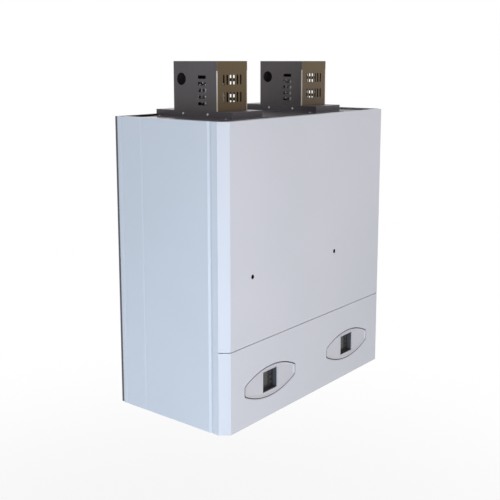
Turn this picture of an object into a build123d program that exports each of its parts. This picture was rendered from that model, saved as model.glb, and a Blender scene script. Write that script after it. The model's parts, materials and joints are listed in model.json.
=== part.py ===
from build123d import *
from math import cos, radians, sin
import os

# Wall-hung gas boiler with two heating modules side by side in one casing.
# Millimetres. X to the right, +Z up, the wall is the plane Y = 0 and the front looks along -Y.
# Heights below are measured from the casing's bottom edge. Each finished piece is moved down, so
# that the origin lies on the wall plane, in the middle of the four wall holes.

# Casing
module_pitch = 410.0
casing_height = 860.0
casing_depth = 412.0
chamfer_width = 22.0
chamfer_depth = 26.0
panel_sheet = 1.2
frame_sheet = 1.5
seat_gap = 0.3
running_gap = 0.05
tool_overrun = 1.0

# Side panel: the back frame's edge stays bare behind it, and it has three pressed grooves
bare_edge = 11.0
return_width = 15.0
front_return = 18.0
groove_depth = 1.2
groove_slope = 5.0
groove_rise = 1.5
rear_groove_from_wall = 23.0
crease_from_wall = 104.0
joggle_from_front = 60.0
joggle_depth = 3.0
joggle_slope = 7.0
joggle_floor = 2.0
joggle_rise = 6.0
strip_inset = 0.6

# Front panels
seam_height = 236.0
seam_gap = 2.0
panel_return = 18.0
sight_hole_radius = 6.5
sight_hole_height = 429.0
sight_hole_offset = -87.0
oval_width = 241.0
oval_height = 92.0
oval_end_height = 30.0
oval_corner = 8.0
smallest_corner = 2.0
oval_centre_height = 104.5
lip_radius = 4.0
lip_depth = 7.0

# Fascia, window and control unit
fascia_gap = 2.5
fascia_set_back = 1.0
fascia_dish = 4.0
fascia_rim = 1.2
fascia_slope = 4.5
fascia_thickness = 2.5
window_width = 68.0
window_height = 62.0
window_corner = 2.0
window_border = 2.5
window_border_height = 1.0
recess_depth = 16.0
unit_width = 140.0
unit_height = 120.0
unit_rear_depth = 58.0
unit_corner = 6.0
display_width = 34.0
display_height = 44.0
display_offset = -10.0
display_thickness = 2.0
display_pocket = 1.2
key_width = 11.0
key_height = 9.0
key_offset = 20.0
key_pitch = 15.0
key_proud = 2.0
key_depth = 6.0
key_travel = 1.2
key_corner = 1.5
key_edge = 0.8

# Top deck, collar and guard; offsets run from the module's middle, distances from the front plane
rim_step = 6.0
deck_flange = 15.0
collar_left = -57.0
collar_right = 80.0
collar_front = 95.0
collar_from_wall = 20.0
collar_rise = 15.0
collar_flange = 10.0
collar_corner = 2.5
guard_right = 77.0
guard_front_distance = 151.5
guard_back_distance = 317.7
guard_height = 140.5
guard_flange = 9.0
guard_foot_start = 3.6
guard_corner_room = 1.0
side_slot_length = 30.0
side_slot_height = 9.5
side_slot_pitch = 18.8
side_slot_count = 5
side_slot_first = 95.5
side_slot_from_front = 57.0
front_slot_width = 7.5
front_slot_height = 29.0
front_slot_pitch = 15.0
front_slot_count = 6
front_slot_rows = (38.5, 88.0)
cable_hole_radius = 17.5
cable_hole_from_back = 30.2
cable_hole_height = 90.0
bare_fold_width = 3.0
bare_fold_height = 114.0
screw_radius = 3.4
screw_head = 1.6
screw_edge = 0.9
screw_spacing = 94.0
screw_drop = 9.5
deck_screw_inset = 20.0

# Fan
motor_radius = 42.0
motor_standoff = 14.0
motor_height = 62.0
motor_foot = 3.0
motor_post_radius = 4.0
motor_post_count = 3
motor_post_inset = 10.0
motor_cap_radius = 30.0
motor_cap_height = 12.0
motor_cap_edge = 5.0
motor_rib_count = 16
motor_rib_height = 2.5
motor_rib_width = 3.0
motor_rib_inset = 6.0
shaft_radius = 4.0
shaft_end = 3.0
shaft_hole_radius = 12.0
scroll_below_deck = 29.5
scroll_height = 58.0
scroll_first_radius = 46.0
scroll_growth = 5.0
scroll_wall = 1.5
impeller_radius = 41.0
impeller_room = 4.0
impeller_plate = 2.0
impeller_blade_height = 40.0
impeller_blade_count = 10
impeller_blade_thickness = 1.4
impeller_blade_start = 20.0
impeller_blade_waist = 32.0
impeller_waist_angle = 10.0
impeller_tip_angle = 35.0
impeller_hub_radius = 12.0
impeller_hub_rise = 6.0
inlet_radius = 35.0
outlet_run = 85.0
flue_radius = 40.0
flue_wall = 1.5
flue_socket = 45.0

# Hood, exchanger, chamber and burner
chamber_side_room = 35.0
chamber_from_front = 92.0
chamber_from_wall = 90.0
chamber_low = 330.0
chamber_high = 500.0
chamber_wall = 12.0
cover_thickness = 4.0
cover_inset = 15.0
cover_end_inset = 12.0
cover_corner = 8.0
exchanger_height = 90.0
exchanger_tank = 32.0
exchanger_skirt = 12.0
exchanger_tube_width = 18.0
exchanger_tube_height = 36.0
exchanger_tube_count = 5
fin_count = 22
fin_thickness = 2.0
fin_inset = 4.0
fin_end_inset = 8.0
port_reach = 6.0
hood_mouth = 140.0
burner_height = 60.0
burner_frame_height = 40.0
burner_frame_sheet = 2.0
burner_side_room = 10.0
burner_bar_count = 11
burner_bar_width = 14.0
burner_bar_height = 30.0
burner_bar_drop = 6.0
burner_bar_edge = 3.0
manifold_radius = 11.0
manifold_height = 30.0
manifold_end_room = 8.0
manifold_web = 12.0
sight_glass_radius = 22.0
sight_glass_depth = 7.0
sight_glass_recess = 3.0
sight_glass_rim = 8.0
sight_glass_edge = 2.0

# Water and gas
riser_radius = 11.0
riser_bend = 16.0
riser_from_wall = 64.0
riser_from_chamber_side = 20.0
riser_cap = 4.0
header_radius = 16.85
flow_header_height = 45.0
return_header_from_wall = 110.0
return_header_height = 95.0
water_stub_radius = 20.95
water_stub_offset = 250.0
stub_reach = 30.0
gas_stub_radius = 13.2
gas_header_radius = 13.2
gas_branch_radius = 11.0
gas_branch_reach = 19.2
gas_from_front = 162.0
gas_height = 40.0
gas_riser_offset = 60.0
gas_feed_radius = 8.0
gas_feed_bend = 10.0
gas_feed_drop = 24.0
cock_height = 84.0
cock_radius = 17.0
cock_body_radius = 13.2
cock_nut_height = 38.0
cock_boss_radius = 7.0
cock_boss_reach = 6.0
lever_length = 52.0
lever_width = 14.0
lever_rise = 18.0
lever_thickness = 3.0
lever_hub_radius = 9.0
lever_hub_depth = 7.0
lever_hub_edge = 1.5
valve_low = 130.0
valve_height = 80.0
valve_width = 60.0
valve_depth = 56.0
valve_corner = 5.0
coil_radius = 14.0
coil_reach = 24.0
coil_heights = (24.0, 57.6)
pump_low = 135.0
pump_height = 110.0
pump_pipe_radius = 15.0
pump_volute_radius = 42.0
pump_volute_back = 24.0
pump_volute_front = 30.0
pump_can_radius = 36.0
pump_can_length = 80.0
pump_can_edge = 6.0
pump_nut_radius = 22.0
pump_nut_height = 16.0

# Back frame, divider, rail and gland
frame_flange = 30.0
frame_top_flange = 15.0
wall_hole_radius = 4.5
wall_hole_from_side = 90.0
wall_hole_from_end = 60.0
arm_width = 30.0
arm_height = 60.0
arm_lift = 30.0
flue_hole_gap = 2.0
divider_above_header = 10.0
rail_height = 42.0
rail_depth = 36.0
rail_plate_inset = 10.0
gland_radius = 10.0
gland_nut_radius = 14.0
gland_nut_height = 6.0
gland_cap_height = 13.0
gland_reach = 14.0
gland_bore = 4.5

# Places worked out from the sizes above
casing_width = 2 * module_pitch
half_width = casing_width / 2
front = -casing_depth
panel_edge = front + chamfer_depth
side_edge = panel_edge + seat_gap
rail_front = side_edge + panel_sheet + seat_gap
rail_back = rail_front + rail_depth
inner_half = half_width - joggle_depth - panel_sheet - seat_gap
frame_half = half_width - panel_sheet - groove_depth - seat_gap
deck_top = casing_height - rim_step
deck_low = deck_top - frame_sheet
collar_top = casing_height + collar_rise
collar_front_y = front + collar_front
collar_back_y = -collar_from_wall
guard_left = collar_left
guard_front_y = front + guard_front_distance
guard_back_y = front + guard_back_distance
guard_base = collar_top
guard_top = guard_base + guard_height
fan_offset = (guard_left + guard_right) / 2
fan_y = (guard_front_y + guard_back_y) / 2
motor_low = collar_top + motor_standoff
motor_top = motor_low + motor_height + motor_cap_height
fascia_front = front + fascia_set_back
fascia_face = fascia_front + fascia_dish
fascia_back = fascia_face + fascia_thickness
recess_floor = fascia_face + recess_depth
unit_back = front + unit_rear_depth
unit_low = oval_centre_height - unit_height / 2
unit_high = oval_centre_height + unit_height / 2
chamber_width = module_pitch - 2 * chamber_side_room
chamber_front = front + chamber_from_front
chamber_back = -chamber_from_wall
chamber_depth = chamber_back - chamber_front
chamber_y = (chamber_front + chamber_back) / 2
exchanger_low = chamber_high
exchanger_high = exchanger_low + exchanger_height
port_height = (exchanger_low + exchanger_high) / 2
hood_top = deck_low - scroll_below_deck - scroll_height
scroll_low = hood_top + seat_gap
flue_height = hood_top + scroll_height / 2
burner_high = chamber_low
burner_low = burner_high - burner_height
manifold_y = chamber_front - manifold_radius
manifold_z = burner_low + manifold_height
riser_offset = chamber_width / 2 - riser_from_chamber_side
water_y = -riser_from_wall
return_y = -return_header_from_wall
pump_high = pump_low + pump_height
gas_y = front + gas_from_front
cock_front = gas_y - cock_radius - cock_boss_reach
gas_branch_top = gas_height + gas_branch_reach
gland_x = -module_pitch / 4
wall_hole_centre = casing_height / 2

os.makedirs("parts", exist_ok=True)


def block(x, y, z):
    """A box between two values of x, of y and of z."""
    middle = Vector((x[0] + x[1]) / 2, (y[0] + y[1]) / 2, (z[0] + z[1]) / 2)
    return Pos(*middle) * Box(x[1] - x[0], y[1] - y[0], z[1] - z[0])


def rod(start, end, radius):
    """A round bar from one point to another."""
    path = Vector(*end) - Vector(*start)
    face = Plane(origin=start, z_dir=path) * Circle(radius)
    return extrude(face, path.length)


def folded_sheet(trace, thickness, low, high):
    """A sheet folded along a trace seen from above, its thickness to the left of the trace."""
    outline = offset(Polyline(*trace), thickness, kind=Kind.INTERSECTION, side=Side.LEFT, closed=True)
    return Pos(0, 0, low) * extrude(make_face(outline.wires()[0]), high - low)


def pipe(route, radius, bend):
    """A bar that follows straight runs joined by bends."""
    line = FilletPolyline(*route, radius=bend)
    return sweep(Plane(origin=line @ 0, z_dir=line % 0) * Circle(radius), path=line)


def stand(face, x, depth_y, height):
    """Stand a flat outline upright in a plane that faces the front."""
    return Plane(origin=(x, depth_y, height), x_dir=(1, 0, 0), z_dir=(0, -1, 0)) * face


def hexagon(x, y, low, radius, height):
    """An upright six-sided nut without its bore."""
    return Pos(x, y, low) * extrude(RegularPolygon(radius, 6), height)


def write(shape, name):
    """Keep one piece as its own file, measured from the middle of the wall holes."""
    export_step(Pos(0, 0, -wall_hole_centre) * shape, f"parts/{name}.step")


def place(shape, side):
    """Move a module's piece from the middle of the casing to its own half."""
    return Pos(side * module_pitch / 2, 0, 0) * shape


# Casing

def back_frame():
    """Tray of folded sheet with wall holes, flue holes and the arms that carry the modules."""
    inner = frame_half - frame_sheet
    tray = block((-frame_half, frame_half), (-frame_flange, 0), (0, casing_height))
    tray -= block(
        (-inner, inner),
        (-frame_flange - tool_overrun, -frame_sheet),
        (frame_sheet, casing_height - frame_sheet),
    )
    tray -= block(
        (-inner, inner),
        (-frame_flange - tool_overrun, -frame_top_flange),
        (casing_height - 2 * frame_sheet, casing_height + tool_overrun),
    )
    hole_x = half_width - wall_hole_from_side
    for x in (-hole_x, hole_x):
        for z in (wall_hole_from_end, casing_height - wall_hole_from_end):
            tray -= rod((x, tool_overrun, z), (x, -frame_sheet - tool_overrun, z), wall_hole_radius)
    for side in (-1, 1):
        middle = side * module_pitch / 2
        flue_x = middle + flue_offset()
        tray -= rod(
            (flue_x, tool_overrun, flue_height),
            (flue_x, -frame_sheet - tool_overrun, flue_height),
            flue_radius + flue_wall + flue_hole_gap,
        )
        for arm_x in (middle - chamber_width / 4, middle + chamber_width / 4):
            tray += frame_arm(arm_x)
    return tray


def frame_arm(x):
    """One folded arm, open below, that reaches forward to the back of a combustion chamber."""
    low = chamber_low + arm_lift
    high = low + arm_height
    left = x - arm_width / 2
    right = x + arm_width / 2
    arm = block((left, right), (chamber_back, -frame_sheet), (low, high))
    return arm - block(
        (left + frame_sheet, right - frame_sheet),
        (chamber_back + frame_sheet, tool_overrun),
        (low - tool_overrun, high - frame_sheet),
    )


def side_panel():
    """The left panel: flat sheet with three pressed grooves, a front return and edge returns."""
    def groove(from_wall, depth, slope, floor, rise, end_depth):
        start = -from_wall
        points = [(start, 0), (start - slope, depth)]
        if floor:
            points.append((start - slope - floor, depth))
        points.append((start - slope - floor - rise, end_depth))
        return points

    joggle_from_wall = casing_depth - joggle_from_front
    steps = [(-bare_edge, 0)]
    steps += groove(rear_groove_from_wall, groove_depth, groove_slope, 0, groove_rise, 0)
    steps += groove(crease_from_wall, groove_depth, groove_slope, 0, groove_rise, 0)
    steps += groove(joggle_from_wall, joggle_depth, joggle_slope, joggle_floor, joggle_rise, strip_inset)
    steps += [(side_edge, strip_inset), (side_edge, front_return)]
    trace = [(-half_width + depth, y) for y, depth in steps]
    panel = folded_sheet(trace, panel_sheet, 0, casing_height)
    edge_y = (side_edge, -frame_flange - panel_sheet)
    edge_x = (-half_width + joggle_depth + panel_sheet / 2, -half_width + return_width)
    for low in (0, casing_height - panel_sheet):
        panel += block(edge_x, edge_y, (low, low + panel_sheet))
    return panel


def front_outline():
    """The front panels' outline seen from above: front, two chamfers and two short returns."""
    inner = half_width - return_width
    corner = half_width - chamfer_width
    return [
        (-inner, panel_edge), (-half_width, panel_edge), (-corner, front),
        (corner, front), (half_width, panel_edge), (inner, panel_edge),
    ]


def front_pan(low, high):
    """A pan of folded sheet with returns along its top and bottom edges."""
    outline = front_outline()
    pan = folded_sheet(outline, panel_sheet, low, high)
    footprint = make_face(Polyline(*outline[1:5], close=True))
    strip = block(
        (-half_width, half_width),
        (front, front + panel_return),
        (-tool_overrun, panel_sheet + tool_overrun),
    )
    edge = extrude(footprint, panel_sheet) & strip
    pan += Pos(0, 0, low) * edge
    pan += Pos(0, 0, high - panel_sheet) * edge
    return pan


def upper_front_panel():
    """The tall panel with a sight hole in front of each combustion chamber."""
    pan = front_pan(seam_height + seam_gap / 2, casing_height)
    for side in (-1, 1):
        hole_x = side * module_pitch / 2 + sight_hole_offset
        pan -= rod(
            (hole_x, front - tool_overrun, sight_hole_height),
            (hole_x, front + panel_sheet + tool_overrun, sight_hole_height),
            sight_hole_radius,
        )
    return pan


def oval(grow=0.0):
    """The barrel-shaped outline of a control opening: two long arcs and two short upright ends."""
    end = oval_width / 2
    rise = oval_end_height / 2
    top = oval_height / 2
    outline = [
        ThreePointArc((-end, -rise), (0, -top), (end, -rise)),
        Line((end, -rise), (end, rise)),
        ThreePointArc((end, rise), (0, top), (-end, rise)),
        Line((-end, rise), (-end, -rise)),
    ]
    face = make_face(outline)
    if grow:
        face = offset(face, grow, kind=Kind.INTERSECTION)
    return fillet(face.vertices(), max(oval_corner + grow, smallest_corner))


def oval_edges(shape, middle, depth_y, grow):
    """The edges of a shape that lie in one upright plane, round the oval grown by an amount."""
    half_x = oval_width / 2 + grow + tool_overrun
    half_z = oval_height / 2 + grow + tool_overrun
    near = tool_overrun / 10
    edges = shape.edges().filter_by_position(Axis.Y, depth_y - near, depth_y + near)
    edges = edges.filter_by_position(Axis.X, middle - half_x, middle + half_x)
    return edges.filter_by_position(Axis.Z, oval_centre_height - half_z, oval_centre_height + half_z)


def lower_front_panel():
    """The low panel; the sheet is drawn inwards round each oval opening with a round lip."""
    pan = front_pan(0, seam_height - seam_gap / 2)
    lip_back = front + lip_depth
    hollow_depth = lip_depth - panel_sheet
    for side in (-1, 1):
        middle = side * module_pitch / 2
        land = stand(oval(lip_radius + panel_sheet), middle, lip_back, oval_centre_height)
        pan += extrude(land, lip_depth)
        opening = stand(oval(), middle, lip_back + tool_overrun, oval_centre_height)
        pan -= extrude(opening, lip_depth + 2 * tool_overrun)
        pan = fillet(oval_edges(pan, middle, front, 0), lip_radius)
        outer = stand(oval(lip_radius + panel_sheet + tool_overrun), middle, lip_back, oval_centre_height)
        inner = stand(oval(panel_sheet), middle, lip_back, oval_centre_height)
        channel = extrude(outer, hollow_depth) - extrude(inner, hollow_depth)
        bend = oval_edges(channel, middle, front + panel_sheet, panel_sheet)
        pan -= fillet(bend, lip_radius - panel_sheet)
    return pan


def top_deck():
    """Plate below the rim, with turned-down edges and an opening under each collar."""
    back = -frame_sheet - seat_gap
    deck = block((-inner_half, inner_half), (rail_front, back), (deck_low - deck_flange, deck_top))
    deck -= block(
        (-inner_half - tool_overrun, inner_half + tool_overrun),
        (rail_front + frame_sheet, back - frame_sheet),
        (deck_low - deck_flange - tool_overrun, deck_low),
    )
    for side in (-1, 1):
        middle = side * module_pitch / 2
        deck -= block(
            (middle + collar_left + collar_flange, middle + collar_right - collar_flange),
            (collar_front_y + collar_flange, collar_back_y - collar_flange),
            (deck_low - tool_overrun, deck_top + tool_overrun),
        )
    return deck


def bottom_tray():
    """Floor plate of the casing with holes for the pipes and the cable gland."""
    y = (rail_front, -frame_flange - seat_gap)
    floor_top = panel_sheet + frame_sheet
    tray = block((-inner_half, inner_half), y, (panel_sheet, floor_top + deck_flange))
    tray -= block(
        (-inner_half + frame_sheet, inner_half - frame_sheet),
        (y[0] + frame_sheet, y[1] - frame_sheet),
        (floor_top, floor_top + deck_flange + tool_overrun),
    )
    for x, hole_y, radius in (
        (water_stub_offset, water_y, water_stub_radius + seat_gap),
        (-water_stub_offset, return_y, water_stub_radius + seat_gap),
        (0, gas_y, gas_stub_radius + seat_gap),
        (gland_x, gas_y, gland_radius),
    ):
        tray -= rod((x, hole_y, 0), (x, hole_y, floor_top + tool_overrun), radius)
    return tray


def centre_divider():
    """Sheet between the two modules, with a foot on the back frame."""
    z = (return_header_height + header_radius + divider_above_header, deck_low - deck_flange)
    sheet = block((0, panel_sheet), (rail_back + seat_gap, -frame_sheet), z)
    return sheet + block((0, return_width), (-frame_sheet - panel_sheet, -frame_sheet), z)


def front_rail():
    """Channel behind the panel seam; its two hanging plates carry the control units."""
    low = seam_height - rail_height / 2
    high = seam_height + rail_height / 2
    rail = block((-inner_half, inner_half), (rail_front, rail_back), (low, high))
    rail -= block(
        (-inner_half - tool_overrun, inner_half + tool_overrun),
        (rail_front + frame_sheet, rail_back + tool_overrun),
        (low + frame_sheet, high - frame_sheet),
    )
    for side in (-1, 1):
        middle = side * module_pitch / 2
        reach = unit_width / 2 - rail_plate_inset
        across = (middle - reach, middle + reach)
        rail += block(across, (unit_back, unit_back + frame_sheet), (unit_low, low + frame_sheet))
        rail += block(across, (rail_front, unit_back + frame_sheet), (low, low + frame_sheet))
    return rail


# Controls

def fascia():
    """Dished oval plate with a square window that has a thin raised border."""
    plate = extrude(stand(oval(-fascia_gap), 0, fascia_back, oval_centre_height), fascia_back - fascia_front)
    shelf = stand(oval(-fascia_gap - fascia_rim - fascia_slope), 0, fascia_face, oval_centre_height)
    mouth = stand(oval(-fascia_gap - fascia_rim), 0, fascia_front, oval_centre_height)
    plate -= loft([shelf.faces()[0], mouth.faces()[0]])
    border = RectangleRounded(
        window_width + 2 * window_border, window_height + 2 * window_border, window_corner + window_border
    )
    plate += extrude(stand(border, 0, fascia_face, oval_centre_height), window_border_height)
    window = RectangleRounded(window_width, window_height, window_corner)
    opening = stand(window, 0, fascia_back + tool_overrun, oval_centre_height)
    return plate - extrude(opening, fascia_back - front + 2 * tool_overrun)


def control_unit():
    """Dark housing with a deep square recess behind the window, pockets for display and keys."""
    half = unit_width / 2
    body = block((-half, half), (fascia_back, unit_back), (unit_low, unit_high))
    body = fillet(body.edges().filter_by(Axis.Y), unit_corner)
    opening = RectangleRounded(window_width, window_height, window_corner)
    body -= extrude(stand(opening, 0, recess_floor, oval_centre_height), recess_floor - front)
    body -= block(
        (display_offset - display_width / 2, display_offset + display_width / 2),
        (recess_floor - tool_overrun, recess_floor + display_pocket),
        (oval_centre_height - display_height / 2, oval_centre_height + display_height / 2),
    )
    pocket_back = recess_floor - key_proud + key_depth + key_travel + seat_gap
    for row in (-1, 0, 1):
        middle = oval_centre_height + row * key_pitch
        across = key_width / 2 + seat_gap
        tall = key_height / 2 + seat_gap
        body -= block(
            (key_offset - across, key_offset + across),
            (recess_floor - tool_overrun, pocket_back),
            (middle - tall, middle + tall),
        )
    return body


def display():
    """Flat display with rounded corners that lies in its pocket."""
    glass = RectangleRounded(
        display_width - 2 * running_gap, display_height - 2 * running_gap, key_corner
    )
    back = stand(glass, display_offset, recess_floor + display_pocket, oval_centre_height)
    return extrude(back, display_thickness)


def key(row):
    """One key with softened edges; row counts from the middle of the column."""
    middle = oval_centre_height + row * key_pitch
    face = RectangleRounded(key_width, key_height, key_corner)
    cap = extrude(stand(face, key_offset, recess_floor - key_proud + key_depth, middle), key_depth)
    return fillet(cap.faces().sort_by(Axis.Y)[0].edges(), key_edge)


# Fan group

def collar():
    """Open-bottomed pressed box on the deck, with a flange and a shaft hole."""
    x = (collar_left, collar_right)
    y = (collar_front_y, collar_back_y)
    box = block(x, y, (deck_top, collar_top))
    box = fillet(box.edges().filter_by(Axis.Z), collar_corner)
    box -= block(
        (x[0] + frame_sheet, x[1] - frame_sheet),
        (y[0] + frame_sheet, y[1] - frame_sheet),
        (deck_top - tool_overrun, collar_top - frame_sheet),
    )
    foot = block(
        (x[0] - collar_flange, x[1] + collar_flange),
        (y[0] - collar_flange, y[1]),
        (deck_top, deck_top + frame_sheet),
    )
    foot -= block(x, y, (deck_top - tool_overrun, collar_top))
    box += foot
    return box - rod(
        (fan_offset, fan_y, deck_top),
        (fan_offset, fan_y, collar_top + tool_overrun),
        shaft_hole_radius,
    )


def screw(start, outward):
    """Low round screw head that stands on a sheet, its outer edge softened."""
    base = Vector(*start)
    head = rod(start, tuple(base + Vector(*outward) * screw_head), screw_radius)
    outer = head.faces().sort_by(Axis((0, 0, 0), outward))[-1]
    return chamfer(outer.edges(), screw_edge)


def fan_screws():
    """Screws in both sides of each collar, and through its flanges into the deck."""
    screws = []
    for side in (-1, 1):
        middle = side * module_pitch / 2
        for face_x, outward in ((middle + collar_left, (-1, 0, 0)), (middle + collar_right, (1, 0, 0))):
            for along in (-1, 1):
                y = fan_y + along * screw_spacing / 2
                screws.append(screw((face_x, y, collar_top - screw_drop), outward))
        for x in (middle + collar_left - collar_flange / 2, middle + collar_right + collar_flange / 2):
            for y in (collar_front_y + deck_screw_inset, collar_back_y - deck_screw_inset):
                screws.append(screw((x, y, deck_top + frame_sheet), (0, 0, 1)))
    return Compound(children=screws)


def fan_guard():
    """Folded hood: two slotted sides, back and top, with inward feet on the collar."""
    x = (guard_left, guard_right)
    y = (guard_front_y, guard_back_y)
    shell = block(x, y, (guard_base, guard_top))
    shell -= block(
        (x[0] + panel_sheet, x[1] - panel_sheet),
        (y[0] - tool_overrun, y[1] - panel_sheet),
        (guard_base - tool_overrun, guard_top - panel_sheet),
    )
    for ends in ((x[0], x[0] + guard_flange), (x[1] - guard_flange, x[1])):
        shell += block(ends, (y[0] + guard_foot_start, y[1]), (guard_base, guard_base + panel_sheet))
    slot_start = y[0] + side_slot_from_front - side_slot_length / 2
    for row in range(side_slot_count):
        low = guard_base + side_slot_first - row * side_slot_pitch - side_slot_height / 2
        shell -= block(
            (x[0] - tool_overrun, x[1] + tool_overrun),
            (slot_start, slot_start + side_slot_length),
            (low, low + side_slot_height),
        )
    hole_y = y[1] - cable_hole_from_back
    hole_z = guard_base + cable_hole_height
    shell -= rod(
        (x[0] - tool_overrun, hole_y, hole_z),
        (x[0] + panel_sheet + tool_overrun, hole_y, hole_z),
        cable_hole_radius,
    )
    for edge_x in x:
        shell -= block(
            (edge_x - panel_sheet - tool_overrun, edge_x + panel_sheet + tool_overrun),
            (y[0] - tool_overrun, y[0] + bare_fold_width),
            (guard_base - tool_overrun, guard_base + bare_fold_height),
        )
    return shell


def guard_front():
    """Front plate of the guard: two rows of upright slots, bare folds at both edges."""
    x = (guard_left, guard_right)
    y = guard_front_y
    plate = block(
        (x[0] + panel_sheet + seat_gap, x[1] - panel_sheet - seat_gap),
        (y, y + panel_sheet),
        (guard_base, guard_top - panel_sheet - seat_gap),
    )
    fold_top = guard_base + bare_fold_height - seat_gap
    for ends in ((x[0], x[0] + 2 * panel_sheet), (x[1] - 2 * panel_sheet, x[1])):
        plate += block(ends, (y, y + bare_fold_width - seat_gap), (guard_base, fold_top))
    foot_inset = guard_flange + guard_corner_room
    plate += block(
        (x[0] + foot_inset, x[1] - foot_inset),
        (y, y + guard_flange),
        (guard_base, guard_base + panel_sheet),
    )
    slot = SlotOverall(front_slot_height, front_slot_width, rotation=90)
    for row in front_slot_rows:
        for column in GridLocations(front_slot_pitch, 1, front_slot_count, 1):
            slot_x = fan_offset + column.position.X
            face = stand(slot, slot_x, y + panel_sheet + tool_overrun, guard_base + row)
            plate -= extrude(face, panel_sheet + 2 * tool_overrun)
    return plate


def fan_motor():
    """Upright motor on a foot plate and three posts: ribbed can, cap and shaft bore."""
    can_radius = motor_radius - motor_rib_height
    can = Pos(0, 0, motor_low) * extrude(Circle(can_radius), motor_height)
    rib = Pos(can_radius, 0, motor_low + motor_height / 2) * Box(
        2 * motor_rib_height, motor_rib_width, motor_height - 2 * motor_rib_inset
    )
    can += PolarLocations(0, motor_rib_count) * rib
    can += Pos(0, 0, motor_low + motor_height) * extrude(Circle(motor_cap_radius), motor_cap_height)
    can = fillet(can.faces().sort_by(Axis.Z)[-1].edges(), motor_cap_edge)
    foot = Pos(0, 0, collar_top) * extrude(Circle(motor_radius), motor_foot)
    post = Pos(0, 0, collar_top) * extrude(Circle(motor_post_radius), motor_standoff)
    motor = can + foot + PolarLocations(motor_radius - motor_post_inset, motor_post_count) * post
    bore_ends = ((0, 0, collar_top - tool_overrun), (0, 0, motor_top + tool_overrun))
    bore = rod(*bore_ends, shaft_radius + running_gap)
    return Pos(fan_offset, fan_y, 0) * (motor - bore)


def impeller_blade():
    """One backward-curved blade, trimmed to the wheel's rim."""
    def on_wheel(radius, angle):
        return Vector(radius * cos(radians(angle)), radius * sin(radians(angle)))

    curve = ThreePointArc(
        on_wheel(impeller_blade_start, 0),
        on_wheel(impeller_blade_waist, impeller_waist_angle),
        on_wheel(impeller_radius, impeller_tip_angle),
    )
    outline = offset(curve, impeller_blade_thickness, side=Side.LEFT, closed=True)
    height = impeller_blade_height + impeller_plate / 2
    return extrude(make_face(outline.wires()[0]), height) & extrude(Circle(impeller_radius), height)


def fan_impeller():
    """Backplate with curved blades, a hub and the shaft that runs up through the motor."""
    low = scroll_low + scroll_wall + impeller_room
    hub_low = low + impeller_blade_height / 2
    plate_low = low + impeller_blade_height
    wheel = Pos(0, 0, plate_low) * extrude(Circle(impeller_radius), impeller_plate)
    wheel += rod((0, 0, hub_low), (0, 0, plate_low + impeller_hub_rise), impeller_hub_radius)
    blade = impeller_blade()
    for count in range(impeller_blade_count):
        wheel += Pos(0, 0, low) * Rot(0, 0, count * 360 / impeller_blade_count) * blade
    wheel += rod((0, 0, hub_low), (0, 0, motor_top + shaft_end), shaft_radius)
    return Pos(fan_offset, fan_y, 0) * wheel


def volute_outline(inset=0.0):
    """Spiral outline of the scroll: three quarter arcs of growing radius and a straight outlet."""
    centre_x = 0.0
    centre_y = 0.0
    radius = scroll_first_radius - inset
    lines = []
    for quarter, (shift_x, shift_y) in enumerate(((0, 0), (scroll_growth, 0), (0, scroll_growth))):
        centre_x += shift_x
        centre_y += shift_y
        if quarter:
            radius += scroll_growth
        lines.append(CenterArc((centre_x, centre_y), radius, 90 + 90 * quarter, 90))
    right = centre_x + radius
    tongue = (inset, scroll_first_radius - inset)
    lines.append(Line((right, centre_y), (right, outlet_run)))
    lines.append(Line((right, outlet_run), (inset, outlet_run)))
    lines.append(Line((inset, outlet_run), tongue))
    if inset:
        lines.append(Line(tongue, (0, scroll_first_radius - inset)))
    return make_face(lines)


def scroll_right():
    """How far the scroll's outer wall stands right of the fan's axis."""
    return scroll_first_radius + 3 * scroll_growth


def flue_offset():
    """The flue's place, right of the module's middle."""
    return fan_offset + scroll_right() / 2


def fan_scroll():
    """Spiral housing with an inlet below, a shaft hole above and an outlet towards the wall."""
    case = extrude(volute_outline(), scroll_height)
    case -= Pos(0, 0, scroll_wall) * extrude(volute_outline(scroll_wall), scroll_height - 2 * scroll_wall)
    case -= rod((0, 0, -tool_overrun), (0, 0, scroll_wall + tool_overrun), inlet_radius)
    case -= rod(
        (0, 0, scroll_height - scroll_wall - tool_overrun),
        (0, 0, scroll_height + tool_overrun),
        shaft_hole_radius,
    )
    return Pos(fan_offset, fan_y, scroll_low) * case


def flue_outlet():
    """Transition from the scroll's rectangular outlet to a round socket through the back frame."""
    start = fan_y + outlet_run + seat_gap
    end = -frame_sheet - flue_socket
    x = flue_offset()

    def cone(inset):
        square = Rectangle(scroll_right() - 2 * inset, scroll_height - 2 * inset)
        round_end = Circle(flue_radius + flue_wall - inset)
        facing = {"x_dir": (1, 0, 0), "z_dir": (0, 1, 0)}
        return loft([
            (Plane(origin=(x, start, scroll_low + scroll_height / 2), **facing) * square).faces()[0],
            (Plane(origin=(x, end, flue_height), **facing) * round_end).faces()[0],
        ])

    socket = rod((x, end, flue_height), (x, -seat_gap, flue_height), flue_radius + flue_wall)
    socket -= rod((x, end - tool_overrun, flue_height), (x, tool_overrun, flue_height), flue_radius)
    return (cone(0) - cone(flue_wall)) + socket


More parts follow.
